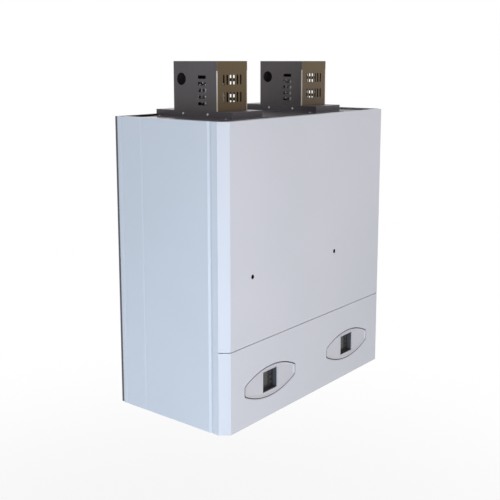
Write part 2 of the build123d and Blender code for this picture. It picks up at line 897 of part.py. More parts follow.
def flue_hood():
    """Tapered sheet hood over the exchanger, with a flat top that carries the scroll."""
    def taper(inset):
        mouth = Rectangle(chamber_width - 2 * inset, chamber_depth - 2 * inset)
        neck = Rectangle(hood_mouth - 2 * inset, hood_mouth - 2 * inset)
        return loft([
            (Plane((0, chamber_y, exchanger_high)) * mouth).faces()[0],
            (Plane((fan_offset, fan_y, hood_top)) * neck).faces()[0],
        ])

    hood = taper(0) - taper(frame_sheet)
    hood += block(
        (fan_offset - hood_mouth / 2, fan_offset + hood_mouth / 2),
        (fan_y - hood_mouth / 2, fan_y + hood_mouth / 2),
        (hood_top - frame_sheet, hood_top),
    )
    return hood - rod(
        (fan_offset, fan_y, hood_top - frame_sheet - tool_overrun),
        (fan_offset, fan_y, hood_top + tool_overrun),
        inlet_radius,
    )


# Heating group

def heat_exchanger():
    """Finned block: thin fins on oval tubes between two end tanks, with two ports at the back."""
    half = chamber_width / 2
    low = exchanger_low
    high = exchanger_high
    body = block((-half, -half + exchanger_tank), (chamber_front, chamber_back), (low, high))
    body += block((half - exchanger_tank, half), (chamber_front, chamber_back), (low, high))
    for y in (chamber_front, chamber_back - frame_sheet):
        body += block((-half, half), (y, y + frame_sheet), (low, low + exchanger_skirt))
    spacing = chamber_depth / exchanger_tube_count
    tube = SlotOverall(exchanger_tube_height, exchanger_tube_width, rotation=90)
    for row in range(exchanger_tube_count):
        y = chamber_front + (row + 0.5) * spacing
        section = Plane(origin=(-half, y, port_height), x_dir=(0, 1, 0), z_dir=(1, 0, 0)) * tube
        body += extrude(section, chamber_width)
    fin_pitch = (chamber_width - 2 * exchanger_tank) / (fin_count + 1)
    for fin in range(fin_count):
        x = -half + exchanger_tank + (fin + 1) * fin_pitch
        body += block(
            (x - fin_thickness / 2, x + fin_thickness / 2),
            (chamber_front + fin_inset, chamber_back - fin_inset),
            (low + fin_end_inset, high - fin_end_inset),
        )
    flow_port_end = water_y - riser_radius - seat_gap
    for x, end in ((riser_offset, flow_port_end), (-riser_offset, chamber_back + port_reach)):
        body += rod((x, chamber_back - tool_overrun, port_height), (x, end, port_height), riser_radius)
    return body


def return_riser():
    """Pipe from the pump up to the exchanger's left port."""
    route = [
        (-riser_offset, chamber_back + port_reach + seat_gap, port_height),
        (-riser_offset, water_y, port_height),
        (-riser_offset, water_y, pump_high + seat_gap),
    ]
    return pipe(route, riser_radius, riser_bend)


def combustion_chamber():
    """Sheet box open above and below, with a lined wall and a hole for the sight glass."""
    half = chamber_width / 2
    inner = half - chamber_wall
    box = block((-half, half), (chamber_front, chamber_back), (chamber_low, chamber_high))
    box -= block(
        (-inner, inner),
        (chamber_front + chamber_wall, chamber_back - chamber_wall),
        (chamber_low - tool_overrun, chamber_high + tool_overrun),
    )
    cover = block(
        (-half + cover_inset, half - cover_inset),
        (chamber_front - cover_thickness, chamber_front),
        (chamber_low + cover_end_inset, chamber_high - cover_end_inset),
    )
    box += fillet(cover.edges().filter_by(Axis.Y), cover_corner)
    return box - rod(
        (sight_hole_offset, chamber_front - cover_thickness - tool_overrun, sight_hole_height),
        (sight_hole_offset, chamber_front + chamber_wall + tool_overrun, sight_hole_height),
        sight_glass_radius - sight_glass_rim,
    )


def sight_glass():
    """Round glass in a turned bezel on the chamber's cover."""
    base = chamber_front - cover_thickness
    face = base - sight_glass_depth
    z = sight_hole_height
    disc = rod((sight_hole_offset, base, z), (sight_hole_offset, face, z), sight_glass_radius)
    disc = fillet(disc.faces().sort_by(Axis.Y)[0].edges(), sight_glass_edge)
    return disc - rod(
        (sight_hole_offset, face + sight_glass_recess, z),
        (sight_hole_offset, face - tool_overrun, z),
        sight_glass_radius - sight_glass_rim,
    )


def burner():
    """Row of chamfered burner bars in a frame, with the gas manifold along the front."""
    half = chamber_width / 2
    depth = (chamber_front, chamber_back)
    frame = block((-half, half), depth, (burner_high - burner_frame_height, burner_high))
    frame -= block(
        (-half + burner_frame_sheet, half - burner_frame_sheet),
        (chamber_front + burner_frame_sheet, chamber_back - burner_frame_sheet),
        (burner_low, burner_high + tool_overrun),
    )
    pitch = (chamber_width - 2 * burner_side_room) / burner_bar_count
    bar_top = burner_high - burner_bar_drop
    for bar in range(burner_bar_count):
        x = -half + burner_side_room + (bar + 0.5) * pitch
        across = (x - burner_bar_width / 2, x + burner_bar_width / 2)
        rib = block(across, depth, (bar_top - burner_bar_height, bar_top))
        frame += chamfer(rib.edges().filter_by(Axis.Y).group_by(Axis.Z)[-1], burner_bar_edge)
    reach = half - manifold_end_room
    frame += rod((-reach, manifold_y, manifold_z), (reach, manifold_y, manifold_z), manifold_radius)
    frame += block(
        (-reach, reach),
        (manifold_y, chamber_front),
        (manifold_z - manifold_web / 2, manifold_z + manifold_web / 2),
    )
    return frame


def gas_valve():
    """Square valve body with two coils on its front and a pipe up to the manifold."""
    x = gas_riser_offset
    high = valve_low + valve_height
    body = block(
        (x - valve_width / 2, x + valve_width / 2),
        (gas_y - valve_depth / 2, gas_y + valve_depth / 2),
        (valve_low, high),
    )
    body = fillet(body.edges().filter_by(Axis.Z), valve_corner)
    for height in coil_heights:
        z = valve_low + height
        body += rod((x, gas_y, z), (x, gas_y - valve_depth / 2 - coil_reach, z), coil_radius)
    turn_z = burner_low - gas_feed_drop
    route = [
        (x, gas_y, high - tool_overrun),
        (x, gas_y, turn_z),
        (x, manifold_y, turn_z),
        (x, manifold_y, manifold_z - manifold_radius - seat_gap),
    ]
    return body + pipe(route, gas_feed_radius, gas_feed_bend)


def gas_cock():
    """Ball cock body between the gas header and the valve, with a spindle boss at the front."""
    x = gas_riser_offset
    body = rod((x, gas_y, gas_branch_top), (x, gas_y, valve_low), cock_body_radius)
    nut = hexagon(x, gas_y, cock_height - cock_nut_height / 2, cock_radius, cock_nut_height)
    boss = rod((x, gas_y, cock_height), (x, cock_front, cock_height), cock_boss_radius)
    return body + nut + boss


def gas_cock_lever():
    """Flat lever on the cock's boss, upright along the pipe when open."""
    x = gas_riser_offset
    face_y = cock_front - seat_gap
    blade = SlotOverall(lever_length, lever_width, rotation=90)
    grip = extrude(stand(blade, x, face_y, cock_height + lever_rise), lever_thickness)
    hub = rod((x, face_y, cock_height), (x, face_y - lever_hub_depth, cock_height), lever_hub_radius)
    return grip + fillet(hub.faces().sort_by(Axis.Y)[0].edges(), lever_hub_edge)


def pump():
    """Wet-rotor pump: round volute in the riser's line, motor can towards the front."""
    x = -riser_offset
    middle = (pump_low + pump_high) / 2
    can_back = water_y - pump_volute_front
    body = rod((x, water_y, pump_low), (x, water_y, pump_high), pump_pipe_radius)
    body += rod((x, water_y + pump_volute_back, middle), (x, can_back, middle), pump_volute_radius)
    for z in (pump_low, pump_high - pump_nut_height):
        body += hexagon(x, water_y, z, pump_nut_radius, pump_nut_height)
    can = rod((x, can_back, middle), (x, can_back - pump_can_length, middle), pump_can_radius)
    return body + fillet(can.faces().sort_by(Axis.Y)[0].edges(), pump_can_edge)


# Pipework shared by both modules

def header(y, z, first, last):
    """Water pipe along the back of the casing that runs just past its first and last branch."""
    return rod((first - header_radius, y, z), (last + header_radius, y, z), header_radius)


def water_stub(x, y, z):
    """Drop from a header through the bottom tray to a connection of larger radius below it."""
    drop = rod((x, y, z), (x, y, 0), riser_radius + riser_cap)
    return drop + rod((x, y, 0), (x, y, -stub_reach), water_stub_radius)


def flow_header():
    """Flow pipe along the back with a riser to each exchanger and the flow connection below."""
    ends = (riser_offset - module_pitch / 2, riser_offset + module_pitch / 2)
    body = header(water_y, flow_header_height, *ends)
    top = port_height + riser_radius + riser_cap
    for x in ends:
        body += rod((x, water_y, flow_header_height), (x, water_y, top), riser_radius)
    return body + water_stub(water_stub_offset, water_y, flow_header_height)


def return_header():
    """Return pipe with a branch to each pump and the return connection below."""
    z = return_header_height
    ends = (-riser_offset - module_pitch / 2, -riser_offset + module_pitch / 2)
    body = header(return_y, z, *ends)
    for x in ends:
        body += pipe([(x, return_y, z), (x, water_y, z), (x, water_y, pump_low)], riser_radius, riser_bend)
    return body + water_stub(-water_stub_offset, return_y, z)


def gas_header():
    """Gas pipe with a branch to each cock and the gas connection below."""
    ends = (gas_riser_offset - module_pitch / 2, gas_riser_offset + module_pitch / 2)
    body = rod(
        (ends[0] - gas_header_radius, gas_y, gas_height),
        (ends[1] + gas_header_radius, gas_y, gas_height),
        gas_header_radius,
    )
    for x in ends:
        body += rod((x, gas_y, gas_height), (x, gas_y, gas_branch_top), gas_branch_radius)
    body += rod((0, gas_y, gas_height), (0, gas_y, 0), gas_branch_radius)
    return body + rod((0, gas_y, 0), (0, gas_y, -stub_reach), gas_stub_radius)


def cable_gland():
    """Cable gland in the bottom tray."""
    top = panel_sheet + frame_sheet
    gland = hexagon(gland_x, gas_y, top, gland_nut_radius, gland_nut_height)
    gland += rod(
        (gland_x, gas_y, -gland_reach), (gland_x, gas_y, top + tool_overrun), gland_radius - seat_gap
    )
    gland += hexagon(gland_x, gas_y, -gland_reach, gland_nut_radius, gland_cap_height)
    return gland - rod(
        (gland_x, gas_y, -gland_reach - tool_overrun),
        (gland_x, gas_y, top + gland_nut_height + tool_overrun),
        gland_bore,
    )


write(back_frame(), "back_frame")
left_side = side_panel()
write(left_side, "left_side_panel")
write(mirror(left_side, about=Plane.YZ), "right_side_panel")
write(upper_front_panel(), "upper_front_panel")
write(lower_front_panel(), "lower_front_panel")
write(top_deck(), "top_deck")
write(bottom_tray(), "bottom_tray")
write(centre_divider(), "centre_divider")
write(front_rail(), "front_rail")
write(fan_screws(), "fan_screws")
write(cable_gland(), "cable_gland")
write(gas_header(), "gas_header")
write(flow_header(), "flow_header")
write(return_header(), "return_header")

module_pieces = {
    "fascia": fascia(),
    "control_unit": control_unit(),
    "display": display(),
    "key_top": key(1),
    "key_middle": key(0),
    "key_bottom": key(-1),
    "collar": collar(),
    "fan_guard": fan_guard(),
    "guard_front": guard_front(),
    "fan_motor": fan_motor(),
    "fan_impeller": fan_impeller(),
    "fan_scroll": fan_scroll(),
    "flue_outlet": flue_outlet(),
    "flue_hood": flue_hood(),
    "heat_exchanger": heat_exchanger(),
    "return_riser": return_riser(),
    "combustion_chamber": combustion_chamber(),
    "sight_glass": sight_glass(),
    "burner": burner(),
    "gas_valve": gas_valve(),
    "gas_cock": gas_cock(),
    "gas_cock_lever": gas_cock_lever(),
    "pump": pump(),
}
for name, piece in module_pieces.items():
    write(place(piece, -1), f"left_{name}")
    write(place(piece, 1), f"right_{name}")
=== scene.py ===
"""Looks of a wall-hung gas boiler with two heating modules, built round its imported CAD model."""
import json
import logging
import math
from dataclasses import dataclass
from enum import Enum

import bmesh
import bpy
from mathutils import Matrix, Vector


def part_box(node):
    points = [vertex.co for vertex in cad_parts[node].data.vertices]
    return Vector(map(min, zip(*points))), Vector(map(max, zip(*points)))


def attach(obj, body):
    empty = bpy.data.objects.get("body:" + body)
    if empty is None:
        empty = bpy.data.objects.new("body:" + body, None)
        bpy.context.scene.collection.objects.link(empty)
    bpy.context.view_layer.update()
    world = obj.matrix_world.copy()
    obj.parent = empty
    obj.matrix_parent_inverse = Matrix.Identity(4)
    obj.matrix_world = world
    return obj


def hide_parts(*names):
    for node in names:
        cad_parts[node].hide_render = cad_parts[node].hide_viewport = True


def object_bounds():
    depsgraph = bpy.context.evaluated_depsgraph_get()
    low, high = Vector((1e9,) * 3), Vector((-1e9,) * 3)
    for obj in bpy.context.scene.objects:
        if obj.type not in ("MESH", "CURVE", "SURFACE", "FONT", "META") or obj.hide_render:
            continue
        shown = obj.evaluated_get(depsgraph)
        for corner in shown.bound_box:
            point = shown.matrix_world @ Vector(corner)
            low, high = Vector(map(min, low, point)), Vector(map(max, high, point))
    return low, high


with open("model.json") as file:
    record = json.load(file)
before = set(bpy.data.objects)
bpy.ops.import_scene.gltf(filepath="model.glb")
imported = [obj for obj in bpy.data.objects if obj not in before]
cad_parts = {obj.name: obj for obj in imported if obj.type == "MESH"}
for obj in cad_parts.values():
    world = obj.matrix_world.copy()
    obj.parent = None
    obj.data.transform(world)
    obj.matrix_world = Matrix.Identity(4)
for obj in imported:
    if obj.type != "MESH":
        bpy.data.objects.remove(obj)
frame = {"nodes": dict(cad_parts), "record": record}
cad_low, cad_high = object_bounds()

log = logging.getLogger("boiler")
Colour = tuple[float, float, float]
Point = tuple[float, float, float]
MM = 0.001


class Side(Enum):
    """The two heating modules, named as their CAD nodes are."""

    LEFT = "left"
    RIGHT = "right"


class Grain(Enum):
    """Which way a rolled sheet was brushed or drawn, as the scale of its noise along X, Y and Z."""

    ALONG_X = (6.0, 420.0, 420.0)
    ALONG_Y = (420.0, 6.0, 420.0)
    ALONG_Z = (420.0, 420.0, 6.0)


def tone(red: int, green: int, blue: int) -> Colour:
    """Turn a colour as it is seen on a screen (0 to 255) into the values a shader wants."""
    def channel(value: int) -> float:
        share = value / 255
        return share / 12.92 if share <= 0.04045 else ((share + 0.055) / 1.055) ** 2.4

    return channel(red), channel(green), channel(blue)


class Graph:
    """A short way to lay shader nodes in a tree and join them."""

    def __init__(self, tree: bpy.types.NodeTree) -> None:
        """Start with the tree's nodes removed.

        Args:
            tree: The node tree of a material, a world or a group.
        """
        self.tree = tree
        tree.nodes.clear()

    def add(self, kind: str, settings: dict | None = None, **sockets: object) -> bpy.types.Node:
        """Lay one node.

        Args:
            kind: The node's type without its ShaderNode prefix.
            settings: Attributes to set on the node itself.
            sockets: Inputs by name, with _ for a space. A value is set and a socket is joined.

        Returns:
            The new node.
        """
        node = self.tree.nodes.new(kind if kind.startswith("Node") else "ShaderNode" + kind)
        for name, value in (settings or {}).items():
            setattr(node, name, value)
        for name, value in sockets.items():
            self.put(node, name.replace("_", " "), value)
        return node

    def put(self, node: bpy.types.Node, name: str | int, value: object) -> None:
        """Set or join one input of a node."""
        target = node.inputs[name]
        if isinstance(value, bpy.types.NodeSocket):
            self.tree.links.new(value, target)
        elif isinstance(value, tuple) and len(value) == 3 and target.type == "RGBA":
            target.default_value = (*value, 1.0)
        else:
            target.default_value = value

    def maths(self, operation: str, *values: object, clamp: bool = False) -> bpy.types.NodeSocket:
        """Lay a Math node and give its result."""
        node = self.add("Math", {"operation": operation, "use_clamp": clamp})
        for index, value in enumerate(values):
            self.put(node, index, value)
        return node.outputs[0]

    def ramp(self, value: object, low: float, high: float, out_low: float = 0.0,
             out_high: float = 1.0) -> bpy.types.NodeSocket:
        """Stretch a value from one range to another, smoothly and clamped."""
        node = self.add("MapRange", {"interpolation_type": "SMOOTHSTEP"}, Value=value, From_Min=low,
                        From_Max=high, To_Min=out_low, To_Max=out_high)
        return node.outputs[0]

    def blend(self, share: object, first: object, second: object,
              how: str = "MIX") -> bpy.types.NodeSocket:
        """Mix two colours by a share and give the result."""
        node = self.add("Mix", {"data_type": "RGBA", "blend_type": how})
        self.put(node, 0, share)
        self.put(node, 6, first)
        self.put(node, 7, second)
        return node.outputs[2]

    def noise(self, scale: object, detail: float = 3.0, place: object = None) -> bpy.types.NodeSocket:
        """Lay a noise texture on Object coordinates and give its value."""
        where = place or self.add("TexCoord").outputs["Object"]
        return self.add("TexNoise", Vector=where, Scale=scale, Detail=detail).outputs["Fac"]

    def group(self, tree: bpy.types.NodeTree, **sockets: object) -> bpy.types.Node:
        """Place a shared effect with this material's own values."""
        node = self.add("Group", {"node_tree": tree})
        for name, value in sockets.items():
            self.put(node, name.replace("_", " "), value)
        return node


class Effects:
    """The shader groups that the finishes share, each built once."""

    def __init__(self) -> None:
        """Build every group."""
        self.grain = self.make_grain()
        self.edges = self.make_edges()
        self.dust = self.make_dust()
        self.brush = self.make_brush()
        self.spangle = self.make_spangle()

    @staticmethod
    def start(name: str, inputs: dict[str, float],
              outputs: dict[str, str]) -> tuple[Graph, bpy.types.Node, bpy.types.Node]:
        """Begin a group with named sockets.

        Args:
            name: The group's name.
            inputs: Names and first values of its number inputs.
            outputs: Names of its outputs, each with NodeSocketFloat or NodeSocketVector.

        Returns:
            The graph to lay nodes in, the group's input node and its output node.
        """
        tree = bpy.data.node_groups.new(name, "ShaderNodeTree")
        for label, value in inputs.items():
            socket = tree.interface.new_socket(label, in_out="INPUT", socket_type="NodeSocketFloat")
            socket.default_value = value
        for label, kind in outputs.items():
            tree.interface.new_socket(label, in_out="OUTPUT", socket_type=kind)
        graph = Graph(tree)
        return graph, graph.add("NodeGroupInput"), graph.add("NodeGroupOutput")

    def make_grain(self) -> bpy.types.NodeTree:
        """Fine and broad unevenness of a coat: a tone, a height and patches."""
        graph, given, result = self.start(
            "grain", {"Scale": 900.0, "Patch Scale": 5.0},
            {"Fine": "NodeSocketFloat", "Patches": "NodeSocketFloat"})
        fine = graph.noise(given.outputs["Scale"], 2.0)
        patches = graph.noise(given.outputs["Patch Scale"], 4.0)
        graph.put(result, "Fine", fine)
        graph.put(result, "Patches", graph.ramp(patches, 0.3, 0.7))
        return graph.tree

    def make_edges(self) -> bpy.types.NodeTree:
        """Rounded normals at sharp edges, and a broken mask of where a coat wears there, which on
        white_enamel paints highlights along the edges.
        """
        graph, given, result = self.start(
            "edges", {"Radius": 0.001, "Wear": 0.5, "Break Scale": 120.0},
            {"Mask": "NodeSocketFloat", "Normal": "NodeSocketVector"})
        round_edge = graph.add("Bevel", {"samples": 6}, Radius=given.outputs["Radius"])
        flat = graph.add("NewGeometry").outputs["Normal"]
        turn = graph.add("VectorMath", {"operation": "DOT_PRODUCT"})
        graph.put(turn, 0, round_edge.outputs["Normal"])
        graph.put(turn, 1, flat)
        near = graph.ramp(turn.outputs["Value"], 0.995, 0.86)
        broken = graph.ramp(graph.noise(given.outputs["Break Scale"], 4.0), 0.42, 0.62)
        worn = graph.maths("MULTIPLY", near, broken)
        mask = graph.maths("MULTIPLY", worn, given.outputs["Wear"], clamp=True)
        graph.put(result, "Mask", mask)
        graph.put(result, "Normal", round_edge.outputs["Normal"])
        return graph.tree

    def make_dust(self) -> bpy.types.NodeTree:
        """Dust that settles on faces that look up."""
        graph, given, result = self.start("dust", {"Amount": 0.3}, {"Mask": "NodeSocketFloat"})
        normal = graph.add("SeparateXYZ", Vector=graph.add("NewGeometry").outputs["Normal"])
        up = graph.ramp(normal.outputs["Z"], 0.5, 0.98)
        cloud = graph.ramp(graph.noise(26.0, 5.0), 0.32, 0.72)
        graph.put(result, "Mask", graph.maths("MULTIPLY", graph.maths("MULTIPLY", up, cloud),
                                              given.outputs["Amount"], clamp=True))
        return graph.tree

    def make_brush(self) -> bpy.types.NodeTree:
        """Long fine lines of rolled or drawn sheet along one axis."""
        graph, given, result = self.start(
            "brush", {"Along X": 420.0, "Along Y": 420.0, "Along Z": 6.0}, {"Lines": "NodeSocketFloat"})
        scale = graph.add("CombineXYZ", X=given.outputs["Along X"], Y=given.outputs["Along Y"],
                          Z=given.outputs["Along Z"])
        place = graph.add("VectorMath", {"operation": "MULTIPLY"})
        graph.put(place, 0, graph.add("TexCoord").outputs["Object"])
        graph.put(place, 1, scale.outputs[0])
        graph.put(result, "Lines", graph.noise(1.0, 3.0, place.outputs[0]))
        return graph.tree

    def make_spangle(self) -> bpy.types.NodeTree:
        """Flowered crystals of hot-dip zinc, each with its own tone."""
        graph, given, result = self.start("spangle", {"Scale": 90.0}, {"Tone": "NodeSocketFloat"})
        flakes = graph.add("TexVoronoi", {"feature": "F1"}, Vector=graph.add("TexCoord").outputs["Object"],
                           Scale=given.outputs["Scale"], Randomness=0.9)
        grey = graph.add("RGBToBW", Color=flakes.outputs["Color"])
        graph.put(result, "Tone", grey.outputs[0])
        return graph.tree


@dataclass(frozen=True)
class Finish:
    """A coated or bare surface; its fields say how even, worn and dusty it is.

    Args:
        name: The material's name.
        colour: Its main colour.
        patch: The colour that its broad patches lean to.
        bare: The colour that shows where its edges are worn; white_enamel's is lighter than its coat and
            paints highlights along the edges.
        roughness: Its mean roughness; spread is how far the grain moves it.
        metallic: 1 for bare metal, less for a coat with metal flakes.
        grain_scale: How fine the grain is.
        patch_scale: How small the broad patches are.
        bump: The grain's height in metres.
        edge: The radius that light sees at sharp edges, in metres.
        edge_wear_and_light: How much of the edges is bare; on white_enamel the same mask paints highlights
            along the edges.
        dust: How much dust lies on upward faces.
        coat: The weight of a clear gloss over it.
    """

    name: str
    colour: Colour
    patch: Colour
    bare: Colour = (0.55, 0.55, 0.56)
    roughness: float = 0.45
    spread: float = 0.08
    metallic: float = 0.0
    grain_scale: float = 900.0
    patch_scale: float = 5.0
    bump: float = 0.00004
    edge: float = 0.0009
    edge_wear_and_light: float = 0.3
    dust: float = 0.12
    coat: float = 0.0

    def build(self, effects: Effects) -> bpy.types.Material:
        """Make the material from the shared effects."""
        material = bpy.data.materials.new(self.name)
        material.use_nodes = True
        graph = Graph(material.node_tree)
        grain = graph.group(effects.grain, Scale=self.grain_scale, Patch_Scale=self.patch_scale)
        edges = graph.group(effects.edges, Radius=self.edge, Wear=self.edge_wear_and_light)
        dust = graph.group(effects.dust, Amount=self.dust)
        colour = graph.blend(grain.outputs["Patches"], self.colour, self.patch)
        colour = self.tint(graph, effects, colour)
        # Where the coat wears the bare colour shows; white_enamel's lighter one paints highlights along the
        # edges.
        colour = graph.blend(edges.outputs["Mask"], colour, self.bare)
        colour = graph.blend(dust.outputs["Mask"], colour, tone(168, 163, 156))
        rough = graph.ramp(grain.outputs["Fine"], 0.25, 0.75, self.roughness - self.spread,
                           self.roughness + self.spread)
        rough = graph.maths("MAXIMUM", rough, graph.maths("MULTIPLY", dust.outputs["Mask"], 0.9))
        height = self.relief(graph, effects, grain.outputs["Fine"])
        bump = graph.add("Bump", Strength=1.0, Distance=self.bump, Height=height,
                         Normal=edges.outputs["Normal"])
        shader = graph.add("BsdfPrincipled", Base_Color=colour, Roughness=rough,
                           Metallic=self.metallic, Coat_Weight=self.coat, Coat_Roughness=0.12,
                           Normal=bump.outputs[0])
        output = graph.add("OutputMaterial")
        graph.put(output, "Surface", shader.outputs[0])
        return material

    def tint(self, graph: Graph, effects: Effects, colour: bpy.types.NodeSocket) -> bpy.types.NodeSocket:
        """Give a kind of finish the chance to change its colour; a plain coat leaves it."""
        return colour

    def relief(self, graph: Graph, effects: Effects, fine: bpy.types.NodeSocket) -> bpy.types.NodeSocket:
        """Give the height that the bump follows; a plain coat has its grain alone."""
        return fine


@dataclass(frozen=True)
class BrushedSheet(Finish):
    """Rolled sheet whose tone runs in fine lines along one axis."""

    direction: Grain = Grain.ALONG_Z
    depth: float = 0.35

    def lines(self, graph: Graph, effects: Effects) -> bpy.types.NodeSocket:
        """Place the brush effect along this sheet's axis."""
        x, y, z = self.direction.value
        return graph.group(effects.brush, Along_X=x, Along_Y=y, Along_Z=z).outputs["Lines"]

    def tint(self, graph: Graph, effects: Effects, colour: bpy.types.NodeSocket) -> bpy.types.NodeSocket:
        """Darken the sheet along its lines."""
        share = graph.ramp(self.lines(graph, effects), 0.3, 0.7, 0.0, self.depth)
        return graph.blend(share, colour, tuple(0.55 * value for value in self.colour))

    def relief(self, graph: Graph, effects: Effects, fine: bpy.types.NodeSocket) -> bpy.types.NodeSocket:
        """Follow the lines as well as the grain."""
        return graph.maths("ADD", fine, self.lines(graph, effects))


@dataclass(frozen=True)
class ZincSheet(Finish):
    """Hot-dip zinc-coated sheet with its flowered crystals."""

    flake_scale: float = 90.0
    depth: float = 0.3

    def tint(self, graph: Graph, effects: Effects, colour: bpy.types.NodeSocket) -> bpy.types.NodeSocket:
        """Give each crystal its own tone."""
        flakes = graph.group(effects.spangle, Scale=self.flake_scale).outputs["Tone"]
        share = graph.ramp(flakes, 0.2, 0.8, 0.0, self.depth)
        return graph.blend(share, colour, tuple(0.6 * value for value in self.colour))


@dataclass(frozen=True)
class PaintedLightWindowPlastic(Finish):
    """Dark housing whose recess walls are painted paler than its floor, as painted light falling on the
    walls.
    """

    # Paler colour that paints light on the recess walls.
    wall: Colour = (0.095, 0.095, 0.1)

    def tint(self, graph: Graph, effects: Effects, colour: bpy.types.NodeSocket) -> bpy.types.NodeSocket:
        """Lighten the faces that stand upright to the panel: painted light on the recess walls."""
        normal = graph.add("SeparateXYZ", Vector=graph.add("NewGeometry").outputs["True Normal"])
        across = graph.maths("ABSOLUTE", normal.outputs["X"])
        return graph.blend(graph.ramp(across, 0.6, 0.9), colour, self.wall)


@dataclass(frozen=True)
class PipeMetal(Finish):
    """Pipe whose lower end below a height is a bare nipple with a cut thread."""

    nipple: Colour = (0.6, 0.58, 0.55)
    thread_top: float = -0.4335
    pitch: float = 0.0023
    thread_height: float = 7.0
    middle: tuple[float, float] = (0.0, 0.0)

    def place(self, graph: Graph) -> bpy.types.Node:
        """Split the place on the object into its three numbers."""
        return graph.add("SeparateXYZ", Vector=graph.add("TexCoord").outputs["Object"])

    def tint(self, graph: Graph, effects: Effects, colour: bpy.types.NodeSocket) -> bpy.types.NodeSocket:
        """Colour the nipple as bare metal."""
        below = graph.maths("LESS_THAN", self.place(graph).outputs["Z"], self.thread_top)
        return graph.blend(below, colour, self.nipple)

    def relief(self, graph: Graph, effects: Effects, fine: bpy.types.NodeSocket) -> bpy.types.NodeSocket:
        """Cut a helical thread round the nipple."""
        where = self.place(graph)
        across = graph.maths("SUBTRACT", where.outputs["X"], self.middle[0])
        deep = graph.maths("SUBTRACT", where.outputs["Y"], self.middle[1])
        turn = graph.maths("DIVIDE", graph.maths("ARCTAN2", deep, across), math.tau)
        rise = graph.maths("ADD", graph.maths("DIVIDE", where.outputs["Z"], self.pitch), turn)
        ridge = graph.maths("PINGPONG", rise, 0.5)
        below = graph.maths("LESS_THAN", where.outputs["Z"], self.thread_top)
        cut = graph.maths("MULTIPLY", graph.maths("MULTIPLY", ridge, below), self.thread_height)
        return graph.maths("ADD", fine, cut)


@dataclass(frozen=True)
class GuardPlate(BrushedSheet):
    """Guard front: coated plate whose folded edges below a height are bare bright steel."""

    middle: float = 0.0
    half_width: float = 0.0645
    fold_top: float = 0.558

    def tint(self, graph: Graph, effects: Effects, colour: bpy.types.NodeSocket) -> bpy.types.NodeSocket:
        """Leave the coat off both folds."""
        colour = super().tint(graph, effects, colour)
        place = graph.add("SeparateXYZ", Vector=graph.add("TexCoord").outputs["Object"])
        across = graph.maths("ABSOLUTE", graph.maths("SUBTRACT", place.outputs["X"], self.middle))
        bare = graph.maths("MULTIPLY", graph.maths("GREATER_THAN", across, self.half_width),
                           graph.maths("LESS_THAN", place.outputs["Z"], self.fold_top))
        return graph.blend(bare, colour, tone(214, 210, 200))


